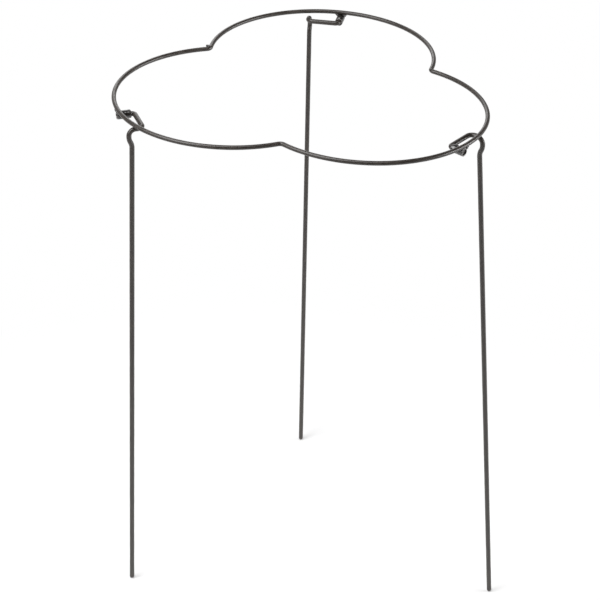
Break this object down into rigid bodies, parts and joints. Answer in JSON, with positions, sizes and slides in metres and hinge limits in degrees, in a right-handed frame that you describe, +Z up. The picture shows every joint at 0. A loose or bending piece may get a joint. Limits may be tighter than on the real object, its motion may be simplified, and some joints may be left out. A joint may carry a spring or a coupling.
{
  "type": "plant support ring stake",
  "caption": "Clover-shaped wire hoop on swinging wire legs that hook into welded sleeves, pushed into the soil to hold up a growing plant.",
  "frame": {"origin": "on the ground, under the middle of the hoop", "axes": "+Z up along the plant's stem, +Y towards the back lobe of the hoop, +X to the right as seen from the front"},
  "size_m": [0.3706, 0.3147, 0.4932],
  "materials": {
    "hoop_wire": "satin",
    "leg_wire": "satin",
    "sleeve": "satin",
    "weld": "satin"
  },
  "bodies": {
    "frame": {"hoop": "hoop_wire", "hoop_closing_weld": "weld", "left_sleeve": "sleeve", "right_sleeve": "sleeve", "back_sleeve": "sleeve", "left_sleeve_weld": "weld", "right_sleeve_weld": "weld", "back_sleeve_weld": "weld"},
    "left_leg": {"left_leg": "leg_wire"},
    "right_leg": {"right_leg": "leg_wire"},
    "back_leg": {"back_leg": "leg_wire"}
  },
  "joints": [
    {"name": "left_leg_swing", "type": "hinge", "parent": "frame", "child": "left_leg", "pos_m": [-0.14982, -0.0865, 0.48445], "axis": [0.866, 0.5, 0], "range_deg": [-3.3, 134]},
    {"name": "right_leg_swing", "type": "hinge", "parent": "frame", "child": "right_leg", "pos_m": [0.14982, -0.0865, 0.48445], "axis": [-0.866, 0.5, 0], "range_deg": [0, 137]},
    {"name": "back_leg_swing", "type": "hinge", "parent": "frame", "child": "back_leg", "pos_m": [0, 0.173, 0.48445], "axis": [0, -1, 0], "range_deg": [-3.5, 134]}
  ]
}
